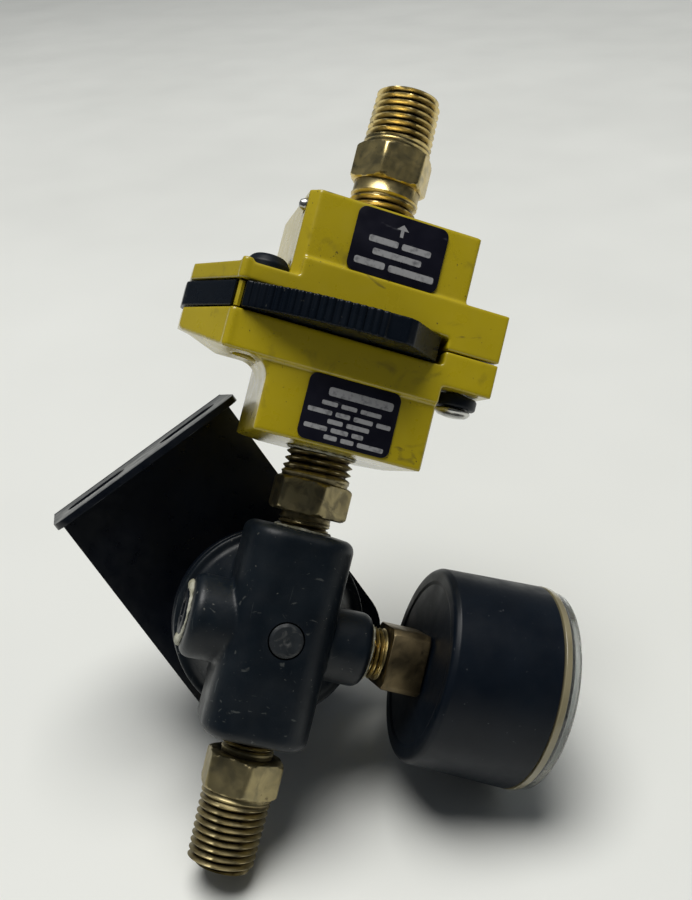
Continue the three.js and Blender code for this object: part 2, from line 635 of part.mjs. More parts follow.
place('bourdon_tube', bentBar(new Hoop(13, 38.6, -1.3, 4.4), 1.5, 32, 4), FINISH.brass);
place('movement_frame', cut(
  join(
    box([37, -5.5, -5.5], [38, 5.5, 8]), box([44.4, -5.5, -5.5], [45.4, 5.5, 8]),
    box([37.5, -5.5, -5.5], [45, -4, -4]), box([37.5, 4, -5.5], [45, 5.5, -4]),
  ),
  rod(1.25, 36.5, 50, AXIS.x, 12), rod(1, 36.5, 50, AXIS.x, 12).translate([0, 0, 6.4]),
), FINISH.brass);

const SECTOR = { centre: 6.4, radius: 5, pinion: 1.25 };
place('pinion_arbor', join(
  rod(0.9, 36.9, 50.8, AXIS.x, 12), rod(SECTOR.pinion, 39.6, 43, AXIS.x, 12),
), FINISH.brass);

// The toothed sector swings below the pinion on an arbor of its own.
function sectorSolid() {
  const shape = new THREE.Shape();
  shape.moveTo(0.6, 0.9);
  shape.absarc(0, 0, SECTOR.radius, -Math.PI / 2 + 0.62, -Math.PI / 2 - 0.62, true);
  shape.lineTo(-0.6, 0.9);
  const blade = prism(shape, 40.6, 41.8, AXIS.x);
  return join(blade, rod(0.7, 36.9, 46, AXIS.x, 12)).rotate([-17, 0, 0]).translate([0, 0, SECTOR.centre]);
}

place('sector_gear', sectorSolid(), FINISH.brass);

// At zero pressure the pointer stands at the lower left of the dial.
const POINTER_ZERO = THREE.MathUtils.degToRad(225);
const pointerShape = outline([[-4.5, -1], [-4.5, 1], [2, 1.1], [14.5, 0.25], [14.5, -0.25], [2, -1.1]]);
place('pointer', cut(
  join(prism(pointerShape, 49.3, 49.8, AXIS.x), rod(2, 49, 50.2, AXIS.x, 24)),
  rod(1.1, 48.8, 52, AXIS.x, 20),
).rotate([THREE.MathUtils.radToDeg(POINTER_ZERO), 0, 0]), FINISH.pointerBlack);

place('gauge_lens', turned([
  [0, LENS.front - 0.8 - LENS.thickness], [16.8, LENS.front - 0.8 - LENS.thickness], [17.4, front + GAP],
  [frontRadius + 0.1, front + GAP], [frontRadius + 0.1, LENS.step], [frontRadius - 0.4, LENS.step + 0.1],
  [frontRadius - 0.6, LENS.front], [18.4, LENS.front], [17.6, LENS.front - 0.8], [0, LENS.front - 0.8],
], AXIS.x, 36), FINISH.clear);

// ---------------------------------------------------------------- stored origin
const object = new THREE.Group();
regulator.position.set(0, 0, -TOP_END);
object.add(regulator);

export default object;
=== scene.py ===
"""Looks of the air pressure regulator assembly: fine meshes, materials, light and camera."""

import math

import bmesh
import bpy
from mathutils import Matrix, Vector


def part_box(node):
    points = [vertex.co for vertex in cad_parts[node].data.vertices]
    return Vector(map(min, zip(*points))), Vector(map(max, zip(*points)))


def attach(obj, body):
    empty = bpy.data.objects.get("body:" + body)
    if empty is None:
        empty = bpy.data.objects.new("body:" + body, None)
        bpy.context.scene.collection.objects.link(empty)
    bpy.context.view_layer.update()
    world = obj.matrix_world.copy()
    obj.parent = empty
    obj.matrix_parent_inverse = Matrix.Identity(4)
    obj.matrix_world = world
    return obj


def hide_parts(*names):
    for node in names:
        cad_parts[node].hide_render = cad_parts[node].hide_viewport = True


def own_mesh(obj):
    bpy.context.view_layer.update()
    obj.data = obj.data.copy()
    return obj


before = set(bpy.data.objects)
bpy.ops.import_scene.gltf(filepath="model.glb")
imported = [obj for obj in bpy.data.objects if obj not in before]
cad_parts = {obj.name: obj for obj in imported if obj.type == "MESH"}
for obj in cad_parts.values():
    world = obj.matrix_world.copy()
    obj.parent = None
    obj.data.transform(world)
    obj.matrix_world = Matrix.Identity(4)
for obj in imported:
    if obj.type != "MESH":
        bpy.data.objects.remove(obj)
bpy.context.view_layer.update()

# Sizes below are millimetres from the regulator's centre, where the flow, knob and gauge axes meet.
MM = 0.001
body_low, body_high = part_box("regulator_body")
CENTRE_Z = (body_low.z + body_high.z) / 2


def at(x, y, z):
    """A point given in millimetres from the regulator's centre, in the frame's metres."""
    return Vector((x * MM, y * MM, z * MM + CENTRE_Z))


def span(node, axis):
    """Lowest and highest place of a CAD node along an axis, in millimetres from the centre."""
    low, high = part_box(node)
    shift = CENTRE_Z if axis == "z" else 0
    i = "xyz".index(axis)
    return (low[i] - shift) / MM, (high[i] - shift) / MM


# ------------------------------------------------------------------ materials
class Surface:
    """A Principled material whose colour, roughness and bump are built up from noise."""

    def __init__(self, name, metallic=0.0, coat=0.0, specular=0.5):
        self.material = bpy.data.materials.new(name)
        self.material.use_nodes = True
        self.nodes = self.material.node_tree.nodes
        self.links = self.material.node_tree.links
        self.shader = self.nodes["Principled BSDF"]
        self.shader.inputs["Metallic"].default_value = metallic
        self.shader.inputs["Coat Weight"].default_value = coat
        self.shader.inputs["Coat Roughness"].default_value = 0.12
        self.shader.inputs["Specular IOR Level"].default_value = specular
        self.place = self.nodes.new("ShaderNodeTexCoord").outputs["Object"]
        self.bump_out = None

    def noise(self, scale, detail, stretch=(1, 1, 1), distortion=0.0):
        mapping = self.nodes.new("ShaderNodeMapping")
        mapping.inputs["Scale"].default_value = [1000 * scale * s for s in stretch]
        self.links.new(self.place, mapping.inputs["Vector"])
        texture = self.nodes.new("ShaderNodeTexNoise")
        texture.inputs["Scale"].default_value = 1.0
        texture.inputs["Detail"].default_value = detail
        texture.inputs["Distortion"].default_value = distortion
        self.links.new(mapping.outputs["Vector"], texture.inputs["Vector"])
        return texture.outputs["Fac"]

    def ramp(self, value, stops):
        node = self.nodes.new("ShaderNodeValToRGB")
        elements = node.color_ramp.elements
        while len(elements) < len(stops):
            elements.new(0.5)
        for element, (position, colour) in zip(elements, stops):
            element.position = position
            element.color = (*colour, 1)
        self.links.new(value, node.inputs["Fac"])
        return node.outputs["Color"]

    def tones(self, scale, detail, dark, light):
        """A colour that drifts between two tones."""
        return self.ramp(self.noise(scale, detail), [(0.3, dark), (0.7, light)])

    def grey(self, value, low, high, dark=0.0, light=1.0):
        return self.ramp(value, [(low, (dark,) * 3), (high, (light,) * 3)])

    def mix(self, mask, first, second):
        node = self.nodes.new("ShaderNodeMix")
        node.data_type = "RGBA"
        self.links.new(mask, node.inputs["Factor"])
        for socket, value in ((node.inputs["A"], first), (node.inputs["B"], second)):
            if isinstance(value, tuple):
                socket.default_value = (*value, 1)
            else:
                self.links.new(value, socket)
        return node.outputs["Result"]

    def worn_edges(self, radius, low, high):
        """White along convex edges, broken up by noise: a mask for edges worn bare, and for the yellow paint
        a painted highlight.
        """
        bevel = self.nodes.new("ShaderNodeBevel")
        bevel.samples = 4
        bevel.inputs["Radius"].default_value = radius * MM
        dot = self.nodes.new("ShaderNodeVectorMath")
        dot.operation = "DOT_PRODUCT"
        geometry = self.nodes.new("ShaderNodeNewGeometry")
        self.links.new(bevel.outputs["Normal"], dot.inputs[0])
        self.links.new(geometry.outputs["Normal"], dot.inputs[1])
        edge = self.grey(dot.outputs["Value"], 0.8, 0.97, 1.0, 0.0)
        patches = self.grey(self.noise(0.35, 5), low, high)
        both = self.nodes.new("ShaderNodeMix")
        both.data_type = "RGBA"
        both.blend_type = "MULTIPLY"
        both.inputs["Factor"].default_value = 1.0
        self.links.new(edge, both.inputs["A"])
        self.links.new(patches, both.inputs["B"])
        return both.outputs["Result"]

    def hollows(self, deep, shallow):
        """White in the roots of threads and grooves."""
        geometry = self.nodes.new("ShaderNodeNewGeometry")
        return self.grey(geometry.outputs["Pointiness"], deep, shallow, 1.0, 0.0)

    def colour(self, value):
        self.links.new(value, self.shader.inputs["Base Color"])

    def roughness(self, mask, low, high):
        value = self.grey(mask, 0.3, 0.7, low, high)
        self.links.new(value, self.shader.inputs["Roughness"])

    def bump(self, height, distance, strength):
        node = self.nodes.new("ShaderNodeBump")
        node.inputs["Distance"].default_value = distance * MM
        node.inputs["Strength"].default_value = strength
        self.links.new(height, node.inputs["Height"])
        if self.bump_out:
            self.links.new(self.bump_out, node.inputs["Normal"])
        self.bump_out = node.outputs["Normal"]
        self.links.new(self.bump_out, self.shader.inputs["Normal"])


def yellow_paint():
    surface = Surface("yellow_paint", coat=0.6)
    broad = surface.tones(0.05, 3, (0.42, 0.325, 0.005), (0.49, 0.378, 0.006))
    grime = surface.grey(surface.noise(0.22, 8, distortion=0.6), 0.60, 0.80)
    soiled = surface.mix(grime, broad, (0.24, 0.185, 0.012))
    specks = surface.grey(surface.noise(1.6, 2), 0.72, 0.75)
    speckled = surface.mix(specks, soiled, (0.10, 0.075, 0.015))
    rubs = surface.grey(surface.noise(0.12, 6, stretch=(1, 1, 2.2), distortion=1.2), 0.70, 0.76)
    rubbed = surface.mix(rubs, speckled, (0.15, 0.12, 0.02))
    # The lighter yellow along the convex edges is a painted highlight.
    edge_highlighted = surface.mix(surface.worn_edges(0.5, 0.50, 0.62), rubbed, (0.60, 0.53, 0.10))
    surface.colour(edge_highlighted)
    surface.roughness(surface.noise(0.3, 4), 0.24, 0.40)
    surface.bump(surface.noise(0.5, 3), 0.05, 0.5)
    return surface.material


def black_casting():
    surface = Surface("black_casting", specular=0.32)
    base = surface.tones(0.12, 5, (0.003, 0.006, 0.010), (0.006, 0.0105, 0.016))
    scratches = surface.grey(surface.noise(0.5, 6, stretch=(1, 1, 0.12), distortion=1.5), 0.67, 0.71)
    scratched = surface.mix(scratches, base, (0.035, 0.042, 0.046))
    scuffs = surface.grey(surface.noise(0.35, 9, stretch=(0.5, 1, 1), distortion=2.5), 0.66, 0.70)
    scuffed = surface.mix(scuffs, scratched, (0.05, 0.055, 0.055))
    dust = surface.grey(surface.noise(1.2, 3), 0.71, 0.75)
    surface.colour(surface.mix(dust, scuffed, (0.12, 0.12, 0.11)))
    surface.roughness(surface.noise(0.3, 5), 0.34, 0.50)
    surface.bump(surface.noise(1.5, 3), 0.03, 0.6)
    return surface.material


def scuffed_casting():
    """For the plug in the underside, rubbed grey by the bench."""
    surface = Surface("scuffed_casting", specular=0.4)
    base = surface.tones(0.3, 6, (0.008, 0.011, 0.014), (0.018, 0.022, 0.026))
    rubs = surface.grey(surface.noise(0.5, 8, distortion=1.5), 0.56, 0.70)
    surface.colour(surface.mix(rubs, base, (0.06, 0.062, 0.062)))
    surface.roughness(surface.noise(0.4, 5), 0.42, 0.60)
    surface.bump(surface.noise(1.4, 4), 0.04, 0.6)
    return surface.material


def black_plastic():
    surface = Surface("black_plastic", specular=0.22)
    base = surface.tones(0.1, 4, (0.002, 0.0045, 0.009), (0.004, 0.0075, 0.0135))
    dust = surface.grey(surface.noise(0.9, 4), 0.70, 0.76)
    surface.colour(surface.mix(dust, base, (0.05, 0.055, 0.06)))
    surface.roughness(surface.noise(0.25, 4), 0.34, 0.48)
    surface.bump(surface.noise(2.2, 2), 0.02, 0.5)
    return surface.material


def glossy_plastic():
    """The slide's moulded plastic, polished by fingers."""
    surface = Surface("glossy_plastic", specular=0.2)
    base = surface.tones(0.1, 4, (0.002, 0.004, 0.008), (0.004, 0.007, 0.012))
    dust = surface.grey(surface.noise(1.1, 4), 0.70, 0.76)
    surface.colour(surface.mix(dust, base, (0.05, 0.05, 0.045)))
    surface.roughness(surface.noise(0.25, 4), 0.20, 0.34)
    surface.bump(surface.noise(1.2, 3), 0.02, 0.5)
    return surface.material


def black_coat():
    surface = Surface("black_coat", specular=0.45)
    base = surface.tones(0.1, 4, (0.0008, 0.0022, 0.006), (0.002, 0.004, 0.009))
    bare = surface.mix(surface.worn_edges(0.3, 0.56, 0.64), base, (0.08, 0.085, 0.09))
    surface.colour(bare)
    surface.roughness(surface.noise(0.4, 4), 0.26, 0.40)
    surface.bump(surface.noise(1.2, 3), 0.03, 0.7)
    return surface.material


def brass_surface(name, dark, light, film, film_range, stain, roughness):
    """Drawn brass under a tarnish film, with grime in the thread roots and fine upright scratches."""
    surface = Surface(name, metallic=1.0)
    base = surface.tones(0.1, 5, dark, light)
    patches = surface.grey(surface.noise(0.3, 7, distortion=0.8), *film_range)
    filmed = surface.mix(patches, base, film)
    spots = surface.grey(surface.noise(0.45, 4), 0.66, 0.74)
    stained = surface.mix(spots, filmed, stain)
    surface.colour(surface.mix(surface.hollows(0.44, 0.497), stained, (0.05, 0.035, 0.015)))
    surface.roughness(surface.noise(0.35, 5), *roughness)
    surface.bump(surface.noise(2.0, 4, stretch=(1, 1, 0.06)), 0.02, 0.35)
    surface.bump(surface.noise(0.7, 4), 0.03, 0.4)
    return surface.material


def brass():
    return brass_surface(
        "brass", dark=(0.62, 0.49, 0.21), light=(0.78, 0.62, 0.28),
        film=(0.38, 0.32, 0.17), film_range=(0.44, 0.66), stain=(0.13, 0.10, 0.05),
        roughness=(0.25, 0.42),
    )


def dull_brass():
    """For the inlet nipple, greyed and handled until it hardly shines."""
    return brass_surface(
        "dull_brass", dark=(0.33, 0.275, 0.14), light=(0.45, 0.375, 0.20),
        film=(0.25, 0.215, 0.125), film_range=(0.42, 0.66), stain=(0.12, 0.095, 0.055),
        roughness=(0.38, 0.54),
    )


def tarnished_brass():
    """For the nipple between the valve and the regulator, stained dark by sealant and handling."""
    return brass_surface(
        "tarnished_brass", dark=(0.30, 0.25, 0.13), light=(0.46, 0.385, 0.21),
        film=(0.20, 0.17, 0.10), film_range=(0.45, 0.62), stain=(0.34, 0.33, 0.26),
        roughness=(0.30, 0.50),
    )


def brown_brass():
    """For the gauge stem's flats, browned all over."""
    return brass_surface(
        "brown_brass", dark=(0.17, 0.13, 0.07), light=(0.27, 0.21, 0.115),
        film=(0.12, 0.095, 0.055), film_range=(0.42, 0.62), stain=(0.08, 0.06, 0.04),
        roughness=(0.36, 0.54),
    )


def steel():
    surface = Surface("steel", metallic=1.0)
    surface.colour(surface.tones(0.2, 5, (0.5, 0.5, 0.49), (0.66, 0.65, 0.62)))
    surface.roughness(surface.noise(0.5, 5), 0.22, 0.42)
    surface.bump(surface.noise(1.6, 3), 0.015, 0.5)
    return surface.material


def rubber():
    surface = Surface("rubber", specular=0.3)
    surface.colour(surface.tones(0.2, 5, (0.012,) * 3, (0.022,) * 3))
    surface.roughness(surface.noise(0.5, 4), 0.6, 0.8)
    surface.bump(surface.noise(1.5, 3), 0.02, 0.6)
    return surface.material


def sealant():
    surface = Surface("sealant", specular=0.35)
    stops = [(0.35, (0.26, 0.25, 0.17)), (0.65, (0.52, 0.51, 0.42))]
    surface.colour(surface.ramp(surface.noise(0.35, 6), stops))
    surface.roughness(surface.noise(0.5, 4), 0.5, 0.75)
    surface.bump(surface.noise(0.9, 6), 0.12, 0.9)
    return surface.material


def label_film():
    surface = Surface("label_film", specular=0.25)
    base = surface.tones(0.15, 4, (0.004, 0.004, 0.009), (0.008, 0.008, 0.016))
    scuffs = surface.grey(surface.noise(0.6, 5, stretch=(0.3, 1, 1)), 0.68, 0.75)
    surface.colour(surface.mix(scuffs, base, (0.05, 0.05, 0.06)))
    surface.roughness(surface.noise(0.3, 4), 0.26, 0.4)
    surface.bump(surface.noise(0.6, 2), 0.01, 0.4)
    return surface.material


def label_print():
    surface = Surface("label_print")
    worn = surface.grey(surface.noise(0.9, 5), 0.5, 0.72)
    surface.colour(surface.mix(worn, (0.34, 0.34, 0.35), (0.13, 0.13, 0.14)))
    surface.roughness(surface.noise(0.5, 3), 0.35, 0.55)
    surface.bump(surface.noise(1.5, 2), 0.005, 0.4)
    return surface.material


def dial_white():
    surface = Surface("dial_white")
    surface.colour(surface.tones(0.08, 4, (0.74, 0.74, 0.71), (0.80, 0.80, 0.78)))
    surface.roughness(surface.noise(0.3, 3), 0.42, 0.55)
    surface.bump(surface.noise(1.5, 2), 0.004, 0.4)
    return surface.material


def dial_ink():
    surface = Surface("dial_ink")
    surface.colour(surface.tones(0.3, 4, (0.010,) * 3, (0.022,) * 3))
    surface.roughness(surface.noise(0.3, 3), 0.4, 0.6)
    surface.bump(surface.noise(1.5, 2), 0.004, 0.4)
    return surface.material


ACRYLIC_IOR = 1.49


def clear_plastic():
    surface = Surface("clear_plastic")
    surface.shader.inputs["Transmission Weight"].default_value = 0.96
    surface.shader.inputs["IOR"].default_value = ACRYLIC_IOR
    surface.colour(surface.tones(0.1, 3, (0.90, 0.93, 0.92), (0.96, 0.97, 0.96)))
    surface.roughness(surface.noise(0.4, 5), 0.01, 0.06)
    surface.bump(surface.noise(0.3, 2), 0.004, 0.3)
    return surface.material


def amber_plastic():
    """The lens's flange, yellowed with age."""
    surface = Surface("amber_plastic", coat=0.6)
    surface.shader.inputs["Transmission Weight"].default_value = 0.2
    surface.shader.inputs["IOR"].default_value = ACRYLIC_IOR
    surface.colour(surface.tones(0.12, 4, (0.27, 0.235, 0.14), (0.37, 0.325, 0.20)))
    surface.roughness(surface.noise(0.4, 4), 0.10, 0.22)
    surface.bump(surface.noise(0.4, 3), 0.01, 0.4)
    return surface.material


YELLOW = yellow_paint()
CASTING = black_casting()
SCUFFED = scuffed_casting()
PLASTIC = black_plastic()
GLOSSY = glossy_plastic()
COAT = black_coat()
BRASS = brass()
DULL_BRASS = dull_brass()
DARK_BRASS = tarnished_brass()
BROWN_BRASS = brown_brass()
STEEL = steel()
RUBBER = rubber()
SEALANT = sealant()
FILM = label_film()
PRINT = label_print()
DIAL = dial_white()
INK = dial_ink()
CLEAR = clear_plastic()
AMBER = amber_plastic()


# ------------------------------------------------------------------ mesh helpers
def placed(name, data):
    """Puts new data into the scene as an object."""
    made = bpy.data.objects.new(name, data)
    bpy.context.scene.collection.objects.link(made)
    return made


def baked(carrier):
    """The mesh that an object's text or modifiers come to, in place of the object."""
    bpy.context.view_layer.update()
    mesh = bpy.data.meshes.new_from_object(carrier.evaluated_get(bpy.context.evaluated_depsgraph_get()))
    bpy.data.objects.remove(carrier)
    return mesh


def sharpen(mesh, degrees):
    """Shades a mesh smooth but keeps its edges over the angle sharp."""
    bm = bmesh.new()
    bm.from_mesh(mesh)
    bmesh.ops.recalc_face_normals(bm, faces=bm.faces)
    for face in bm.faces:
        face.smooth = True
    for edge in bm.edges:
        edge.smooth = len(edge.link_faces) == 2 and edge.calc_face_angle(0) < math.radians(degrees)
    bm.to_mesh(mesh)
    bm.free()


def piece(name, mesh, material, body, nodes=(), sharp=32):
    """Puts a mesh into the scene as a piece that rides on a body and stands for CAD nodes."""
    sharpen(mesh, sharp)
    made = placed(name, mesh)
    mesh.materials.clear()
    mesh.materials.append(material)
    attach(made, body)
    if nodes:
        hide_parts(*nodes)
    return made


def mesh_of(name, points, faces):
    """Points are millimetres from the regulator's centre."""
    mesh = bpy.data.meshes.new(name)
    mesh.from_pydata([at(*p) for p in points], [], faces)
    bm = bmesh.new()
    bm.from_mesh(mesh)
    bmesh.ops.remove_doubles(bm, verts=bm.verts, dist=1e-7)
    bmesh.ops.dissolve_degenerate(bm, edges=bm.edges, dist=1e-7)
    bmesh.ops.recalc_face_normals(bm, faces=bm.faces)
    bm.to_mesh(mesh)
    bm.free()
    return mesh


def filleted(corners, steps=6):
    """Rounds an open or closed outline: corners are (a, b) or (a, b, radius)."""
    outline = []
    count = len(corners)
    for i, corner in enumerate(corners):
        here = Vector(corner[:2])
        radius = corner[2] if len(corner) > 2 else 0
        back = Vector(corners[i - 1][:2]) - here
        ahead = Vector(corners[(i + 1) % count][:2]) - here
        if radius == 0 or back.length == 0 or ahead.length == 0:
            outline.append(tuple(here))
            continue
        half = back.angle(ahead) / 2
        reach = min(radius / math.tan(half), 0.49 * back.length, 0.49 * ahead.length)
        radius = reach * math.tan(half)
        middle = here + (back.normalized() + ahead.normalized()).normalized() * (radius / math.sin(half))
        first = here + back.normalized() * reach - middle
        turn = first.angle_signed(here + ahead.normalized() * reach - middle)
        for step in range(steps + 1):
            angle = -turn * step / steps
            outline.append(tuple(middle + Matrix.Rotation(angle, 2) @ first))
    return outline


def to_axis(axis, radius, angle, height):
    """A point at an angle round an axis."""
    across, up = radius * math.cos(angle), radius * math.sin(angle)
    return {"x": (height, across, up), "y": (across, height, up), "z": (across, up, height)}[axis]


def grid_mesh(name, rows, axis, sides):
    """Rows are functions of the angle that give (radius, height); the last row joins the first."""
    points = []
    for row in rows:
        for side in range(sides):
            angle = 2 * math.pi * side / sides
            radius, height = row(angle)
            points.append(to_axis(axis, max(radius, 0), angle, height))
    faces = []
    for i in range(len(rows)):
        below, above = i * sides, ((i + 1) % len(rows)) * sides
        for side in range(sides):
            after = (side + 1) % sides
            faces.append((below + side, below + after, above + after, above + side))
    return mesh_of(name, points, faces)


def tube_faces(rows, sides):
    """Faces of a capped tube whose points come row by row."""
    faces = [tuple(range(sides)), tuple(range((rows - 1) * sides, rows * sides))]
    for i in range(rows - 1):
        below, above = i * sides, (i + 1) * sides
        for side in range(sides):
            after = (side + 1) % sides
            faces.append((below + side, below + after, above + after, above + side))
    return faces


def lathe(name, profile, axis="y", sides=96):
    """A turned mesh from (radius, height, fillet) corners that close into a ring or on the axis."""
    rows = [lambda angle, r=radius, h=height: (r, h) for radius, height in filleted(profile)]
    return grid_mesh(name, rows, axis, sides)


def prism(name, outline, low, high, axis="z"):
    """Extrudes a closed outline in XY along Z, in XZ along Y, or in YZ along X."""
    points = []
    for level in (low, high):
        points += [{"z": (a, b, level), "y": (a, level, b), "x": (level, a, b)}[axis] for a, b in outline]
    return mesh_of(name, points, tube_faces(2, len(outline)))


def merged(name, *meshes):
    """One mesh from several, left overlapping."""
    bm = bmesh.new()
    for mesh in meshes:
        bm.from_mesh(mesh)
    joined = bpy.data.meshes.new(name)
    bm.to_mesh(joined)
    bm.free()
    return joined


def evaluated(mesh, *modifiers):
    """Applies modifiers, given as (type, settings), to a mesh."""
    carrier = placed("carrier", mesh)
    for kind, settings in modifiers:
        modifier = carrier.modifiers.new(kind, kind)
        for key, value in settings.items():
            setattr(modifier, key, value)
    return baked(carrier)


def boolean(mesh, tool, operation="DIFFERENCE"):
    """Cuts a mesh with another, or keeps what they share."""
    helper = placed("helper", tool)
    result = evaluated(mesh, ("BOOLEAN", {"operation": operation, "solver": "EXACT", "object": helper}))
    bpy.data.objects.remove(helper)
    return result


def cast(mesh, voxel, rounds):
    """Melts overlapping solids into one casting with soft fillets."""
    return evaluated(
        mesh,
        ("REMESH", {"mode": "VOXEL", "voxel_size": voxel * MM}),
        ("SMOOTH", {"factor": 0.5, "iterations": rounds}),
    )


def bevelled(mesh, width, segments=3, degrees=25):
    """Rounds a mesh's edges that are sharper than an angle."""
    return evaluated(mesh, ("BEVEL", {
        "width": width * MM, "segments": segments, "limit_method": "ANGLE",
        "angle_limit": math.radians(degrees), "harden_normals": False,
    }))


def node_mesh(node):
    """A copy of a CAD node's mesh with its flat faces whole again."""
    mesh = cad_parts[node].data.copy()
    bm = bmesh.new()
    bm.from_mesh(mesh)
    bmesh.ops.remove_doubles(bm, verts=bm.verts, dist=1e-7)
    bmesh.ops.dissolve_limit(bm, angle_limit=math.radians(1), verts=bm.verts, edges=bm.edges)
    bm.to_mesh(mesh)
    bm.free()
    return mesh


def rounded_box(left, bottom, right, top, radius, steps):
    """The outline of a rectangle with rounded corners."""
    corners = [(left, bottom), (right, bottom), (right, top), (left, top)]
    return filleted([(a, b, radius) for a, b in corners], steps)


# ------------------------------------------------------------------ brass nipples
QUARTER = {"radius": 6.93, "pitch": 1.411, "depth": 1.05, "bore": 4.3}
EIGHTH = {"radius": 5.2, "pitch": 0.941, "depth": 0.72, "bore": 3.2}
TAPER = 1 / 32
HEX_FLATS = 14.29
HEX_CORNER = HEX_FLATS / math.sqrt(3)
HEX_CHAMFER = [(0, 1.3), (0.25, 0.7), (0.55, 0.3), (0.9, 0.05)]


def hexagon(turn):
    """Radius of a hexagon with slightly rounded corners; a corner points to -Y plus the turn."""
    def radius(angle):
        corner = math.radians(-90 + turn)
        from_flat = (angle - corner) % (math.pi / 3) - math.pi / 6
        return min(HEX_FLATS / 2 / math.cos(from_flat), HEX_CORNER * 0.985)
    return radius


def thread_rows(thread, start, end, runout):
    """Rows of a taper thread from its large end to its small end, with a fading first turn."""
    rows_per_turn, root_share, flank_share = 8, 0.12, 0.76
    chamfer, chamfer_slope = 0.9, 0.8
    count = round(abs(end - start) / thread["pitch"] * rows_per_turn)
    rows = []
    for i in range(count + 1):
        height = start + (end - start) * i / count
        away = abs(height - start)
        left = abs(end - height)

        def row(angle, height=height, away=away, left=left):
            phase = (height / thread["pitch"] - angle / (2 * math.pi)) % 1
            wave = 1 - abs(2 * phase - 1)
            valley = 1 - min(1, max(0, (wave - root_share) / flank_share))
            fade = min(1, away / runout)
            crest = thread["radius"] - away * TAPER - max(0, chamfer - left) * chamfer_slope
            return crest - thread["depth"] * valley * fade, height
        rows.append(row)
    return rows


def ring(radius, height):
    """A row that is a circle."""
    return lambda angle: (radius, height)


def hex_rows(low, high, turn, neck_low, neck_high):
    """Rows of a hexagon whose corners are trimmed towards both ends."""
    whole = hexagon(turn)
    levels = [(low + step, drop) for step, drop in HEX_CHAMFER]
    levels += [(high - step, drop) for step, drop in reversed(HEX_CHAMFER)]
    rows = [ring(neck_low, low)]
    for level, drop in levels:
        rows.append(lambda angle, height=level, limit=HEX_CORNER - drop: (min(whole(angle), limit), height))
    rows.append(ring(neck_high, high))
    return rows


def nipple(node, upper, lower, levels, turn, material):
    """levels: lower neck, hexagon low, hexagon high, upper neck."""
    bottom, top = span(node, "z")
    lower_neck, hex_low, hex_high, upper_neck = levels
    runout, neck_share, mouth, bore_step = 1.2, 0.2, 0.5, 0.6
    low_neck = lower["radius"] - lower["depth"] * neck_share
    high_neck = upper["radius"] - upper["depth"] * neck_share
    rows = list(reversed(thread_rows(lower, lower_neck, bottom, runout)))
    rows += [ring(low_neck, lower_neck + 0.3), ring(low_neck, hex_low - 0.1)]
    rows += hex_rows(hex_low, hex_high, turn, low_neck, high_neck)
    rows += [ring(high_neck, hex_high + 0.1), ring(high_neck, upper_neck - 0.3)]
    rows += thread_rows(upper, upper_neck, top, runout)
    rows += [ring(upper["bore"] + mouth, top), ring(upper["bore"], top - mouth)]
    middle = (hex_low + hex_high) / 2
    rows += [ring(upper["bore"], middle + bore_step), ring(lower["bore"], middle - bore_step)]
    rows += [ring(lower["bore"], bottom + mouth), ring(lower["bore"] + mouth, bottom)]
    name = node + "_fine"
    piece(name, grid_mesh(name, rows, "z", 144), material, "regulator", (node,), 40)


nipple("outlet_nipple", QUARTER, QUARTER, (88.9, 91.3, 98.9, 99.6), turn=-26, material=BRASS)
nipple("middle_nipple", QUARTER, EIGHTH, (22.6, 23.6, 30.4, 31.2), turn=5, material=DARK_BRASS)
nipple("inlet_nipple", EIGHTH, QUARTER, (-32.3, -31.5, -24.3, -23.6), turn=0, material=DULL_BRASS)


# ------------------------------------------------------------------ slide valve
def refined(node, material, body, width):
    """A node with bevelled edges."""
    piece(node + "_fine", bevelled(node_mesh(node), width), material, body, (node,))


def moulded(node, material, body, voxel, rounds):
    """A cast or moulded node with every edge softened alike."""
    piece(node + "_fine", cast(node_mesh(node), voxel, rounds), material, body, (node,), 60)


moulded("valve_upper_body", YELLOW, "regulator", voxel=0.33, rounds=3)
moulded("valve_lower_body", YELLOW, "regulator", voxel=0.33, rounds=3)
moulded("valve_slide", GLOSSY, "slide", voxel=0.25, rounds=1)

# The halves meet on a dark joint behind the slide's channel, so that no light passes between them.
split = span("valve_lower_body", "z")[1]
joint = prism("valve_joint", rounded_box(-15, 12.8, 15, 15.8, 0.5, 3), split - 0.2, split + 0.5)
piece("valve_joint", joint, RUBBER, "regulator")

# A yellow strip in the slide's notch, in line with the beads while the valve is open.
slide_low, slide_high = span("valve_slide", "z")
mark_outline = [(-25.5, -16.4), (-25.45, -18.3), (-24.9, -18.6), (-24.35, -18.3), (-24.4, -16.4)]
mark = prism("slide_mark", mark_outline, slide_low + 0.1, slide_high - 0.1)
piece("slide_mark", mark, YELLOW, "slide")


def domed_cap(name, x, y, radius, low, high):
    """A screw's cap, with its dome upwards."""
    mesh = lathe(name, [
        (0, low), (radius, low), (radius, low + 1.4, 0.8), (radius * 0.72, high, 2.0), (0, high + 0.05),
    ], "z", 64)
    mesh.transform(Matrix.Translation((x * MM, y * MM, 0)))
    return mesh


cap_top = span("left_clamp_screw", "z")[1]
cap = domed_cap("left_clamp_cap", x=-20.6, y=-12, radius=4.2, low=65.5, high=cap_top)
piece("left_clamp_cap", cap, PLASTIC, "regulator", ("left_clamp_screw",))
refined("right_screw_collar", PLASTIC, "regulator", 0.5)
refined("right_clamp_screw", STEEL, "regulator", 0.3)
refined("label_pin", STEEL, "regulator", 0.15)


# ------------------------------------------------------------------ labels
def printed(name, node, outline):
    """A print of an outline in XZ on a label's face."""
    front = span(node, "y")[0]
    mesh = prism(name, outline, front - 0.03, front - 0.01, "y")
    piece(name, mesh, PRINT, "regulator")


